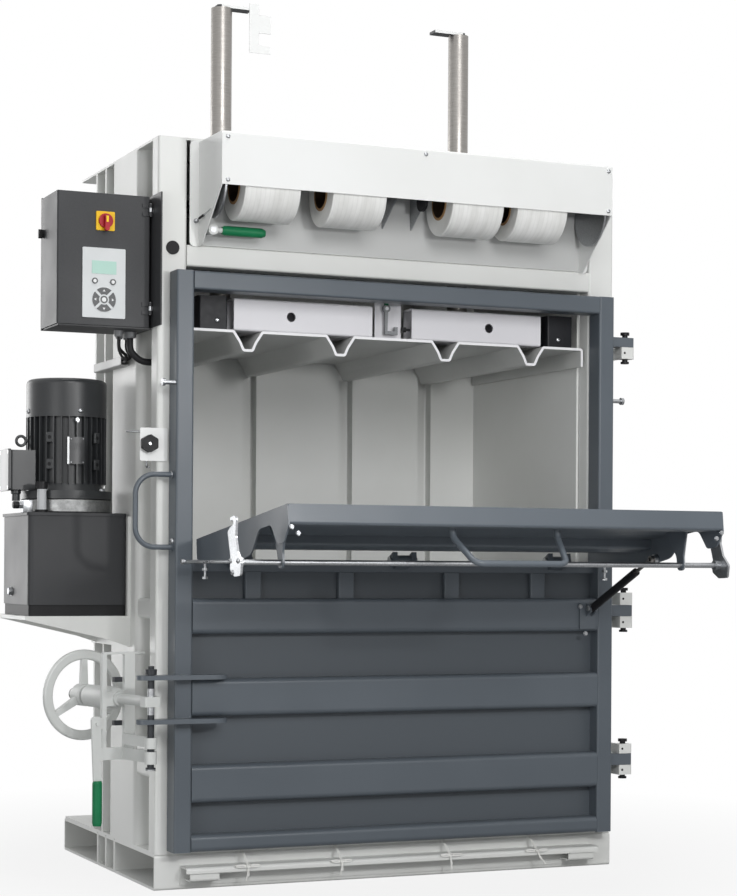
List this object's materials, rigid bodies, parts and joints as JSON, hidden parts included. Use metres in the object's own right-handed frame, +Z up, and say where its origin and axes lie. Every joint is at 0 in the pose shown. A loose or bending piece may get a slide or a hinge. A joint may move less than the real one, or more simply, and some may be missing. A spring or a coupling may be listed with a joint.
{
  "type": "recycling baler",
  "caption": "Upright waste baler with a bale door, a loading flap, a hydraulic press plate, strap rolls in a hood, a side power unit, a control box and a screw lock with a handwheel.",
  "frame": {"origin": "on the floor under the middle of the base, on the lower face of the middle base tube", "axes": "+Z up, -Y towards the front where the door and the flap are, +X to the right seen from the front"},
  "size_m": [1.733, 1.641, 2.466],
  "materials": {
    "light_body": "satin powder coat",
    "chamber_steel": "worn satin",
    "door_slate": "satin powder coat",
    "charcoal": "fine texture",
    "motor_black": "painted casting",
    "bright_steel": "ground",
    "zinc": "zinc plated",
    "lock_light": "satin powder coat",
    "green_grip": "moulded",
    "black_plastic": "moulded",
    "strap_white": "wound polyester strap",
    "switch_yellow": "moulded",
    "switch_red": "moulded",
    "keypad_silver": "membrane",
    "white_plate": "satin"
  },
  "bodies": {
    "frame": {"base_frame": "light_body", "floor_pads": "chamber_steel", "strap_bar": "light_body", "corner_posts": "light_body", "side_walls": "light_body", "side_channels": "light_body", "rear_wall": "light_body", "top_plate": "light_body", "header_beam": "light_body", "cylinder_mounts": "light_body", "cylinder_barrels": "bright_steel", "cylinder_top_bars": "zinc", "hood_cheeks": "light_body", "hood_cover": "light_body", "roll_axle": "zinc", "hinge_blocks": "light_body", "control_back": "charcoal", "oil_tank": "charcoal", "tank_bracket": "light_body", "bell_housing": "bright_steel", "motor_body": "motor_black", "motor_cowl": "motor_black", "terminal_box": "motor_black", "oil_filler": "black_plastic", "cable_tray": "white_plate", "control_leads": "black_plastic", "switch_plate": "white_plate", "frame_pins": "zinc"},
    "motor_rotor": {"motor_rotor": "bright_steel"},
    "strap_roll_1": {"strap_roll_1": "strap_white"},
    "strap_roll_2": {"strap_roll_2": "strap_white"},
    "strap_roll_3": {"strap_roll_3": "strap_white"},
    "strap_roll_4": {"strap_roll_4": "strap_white"},
    "band_lever": {"band_lever": "green_grip"},
    "star_grip": {"star_grip": "black_plastic"},
    "press": {"press_plate": "chamber_steel", "press_beams": "light_body", "guide_blocks": "black_plastic", "piston_rods": "bright_steel"},
    "hook_lever": {"hook_lever": "zinc"},
    "door": {"door_frame": "door_slate", "door_panel": "door_slate", "door_handle": "door_slate", "lock_fork": "door_slate", "door_pins": "zinc", "door_fittings": "door_slate"},
    "flap": {"flap_tray": "door_slate", "flap_handle": "door_slate", "flap_brackets": "zinc"},
    "flap_lock": {"flap_lock_rod": "zinc"},
    "gas_tube": {"gas_tube": "black_plastic"},
    "gas_rod": {"gas_rod": "zinc"},
    "lock_arm": {"lock_arm": "lock_light"},
    "handwheel": {"handwheel": "lock_light"},
    "lock_lever": {"lock_lever": "lock_light"},
    "control_cover": {"control_cover": "charcoal", "keypad": "keypad_silver", "main_switch_plate": "switch_yellow"},
    "cover_latch": {"cover_latch": "charcoal"},
    "main_switch_knob": {"main_switch_knob": "switch_red"}
  },
  "joints": [
    {"name": "door_hinge", "type": "hinge", "parent": "frame", "child": "door", "pos_m": [0.709, -0.467, 0.867], "axis": [0, 0, 1], "range_deg": [0, 120]},
    {"name": "flap_hinge", "type": "hinge", "parent": "door", "child": "flap", "pos_m": [0, -0.488, 0.875], "axis": [-1, 0, 0], "range_deg": [0, 83.25]},
    {"name": "flap_lock_turn", "type": "hinge", "parent": "flap", "child": "flap_lock", "pos_m": [0, -1.01484, 0.86485], "axis": [-1, 0, 0], "range_deg": [0, 36.5]},
    {"name": "gas_tube_pivot", "type": "hinge", "parent": "door", "child": "gas_tube", "pos_m": [0.575, -0.522, 0.742], "axis": [-1, 0, 0], "range_deg": [0, 66.24]},
    {"name": "gas_rod_slide", "type": "slide", "parent": "gas_tube", "child": "gas_rod", "axis": [0, -0.9168, 0.3992], "range_m": [0, 0.13648]},
    {"name": "press_slide", "type": "slide", "parent": "frame", "child": "press", "axis": [0, 0, -1], "range_m": [0, 0.76]},
    {"name": "hook_lever_swing", "type": "hinge", "parent": "press", "child": "hook_lever", "pos_m": [-0.012, -0.396, 1.572], "axis": [0, 1, 0], "range_deg": [0, 30]},
    {"name": "control_cover_hinge", "type": "hinge", "parent": "frame", "child": "control_cover", "pos_m": [-0.697, -0.402, 1.655], "axis": [0, 0, 1], "range_deg": [0, 90]},
    {"name": "cover_latch_turn", "type": "hinge", "parent": "control_cover", "child": "cover_latch", "pos_m": [-0.955, -0.258, 1.734], "axis": [-1, 0, 0], "range_deg": [0, 90]},
    {"name": "main_switch_turn", "type": "hinge", "parent": "control_cover", "child": "main_switch_knob", "pos_m": [-0.82, -0.41, 1.757], "axis": [0, -1, 0], "range_deg": [0, 90]},
    {"name": "motor_rotor_spin", "type": "hinge", "parent": "frame", "child": "motor_rotor", "pos_m": [-0.828, -0.06, 1.17], "axis": [0, 0, 1], "continuous": true},
    {"name": "strap_roll_1_spin", "type": "hinge", "parent": "frame", "child": "strap_roll_1", "pos_m": [-0.4305, -0.5245, 1.85], "axis": [1, 0, 0], "continuous": true},
    {"name": "strap_roll_2_spin", "type": "hinge", "parent": "frame", "child": "strap_roll_2", "pos_m": [-0.1845, -0.5245, 1.85], "axis": [1, 0, 0], "continuous": true},
    {"name": "strap_roll_3_spin", "type": "hinge", "parent": "frame", "child": "strap_roll_3", "pos_m": [0.1655, -0.5245, 1.85], "axis": [1, 0, 0], "continuous": true},
    {"name": "strap_roll_4_spin", "type": "hinge", "parent": "frame", "child": "strap_roll_4", "pos_m": [0.3625, -0.5245, 1.85], "axis": [1, 0, 0], "continuous": true},
    {"name": "band_lever_swing", "type": "hinge", "parent": "frame", "child": "band_lever", "pos_m": [-0.552, -0.48, 1.741], "axis": [0, 1, 0], "range_deg": [0, 35]},
    {"name": "star_grip_turn", "type": "hinge", "parent": "frame", "child": "star_grip", "pos_m": [-0.712, -0.452, 1.175], "axis": [0, 1, 0], "continuous": true},
    {"name": "lock_arm_swing", "type": "hinge", "parent": "door", "child": "lock_arm", "pos_m": [-0.728, -0.525, 0.45], "axis": [0, 0, 1], "range_deg": [0, 60]},
    {"name": "handwheel_spin", "type": "hinge", "parent": "lock_arm", "child": "handwheel", "pos_m": [-0.8103, -0.18481, 0.504], "axis": [-0.2351, 0.972, 0], "continuous": true},
    {"name": "lock_lever_swing", "type": "hinge", "parent": "lock_arm", "child": "lock_lever", "pos_m": [-0.83295, -0.38886, 0.44], "axis": [-0.2351, 0.972, 0], "range_deg": [0, 45]}
  ],
  "couplings": [
    {"joint": "gas_tube_pivot", "follows": "flap_hinge", "ratio": 0.79558},
    {"joint": "gas_rod_slide", "follows": "flap_hinge", "m_per_rad": 0.09386}
  ]
}
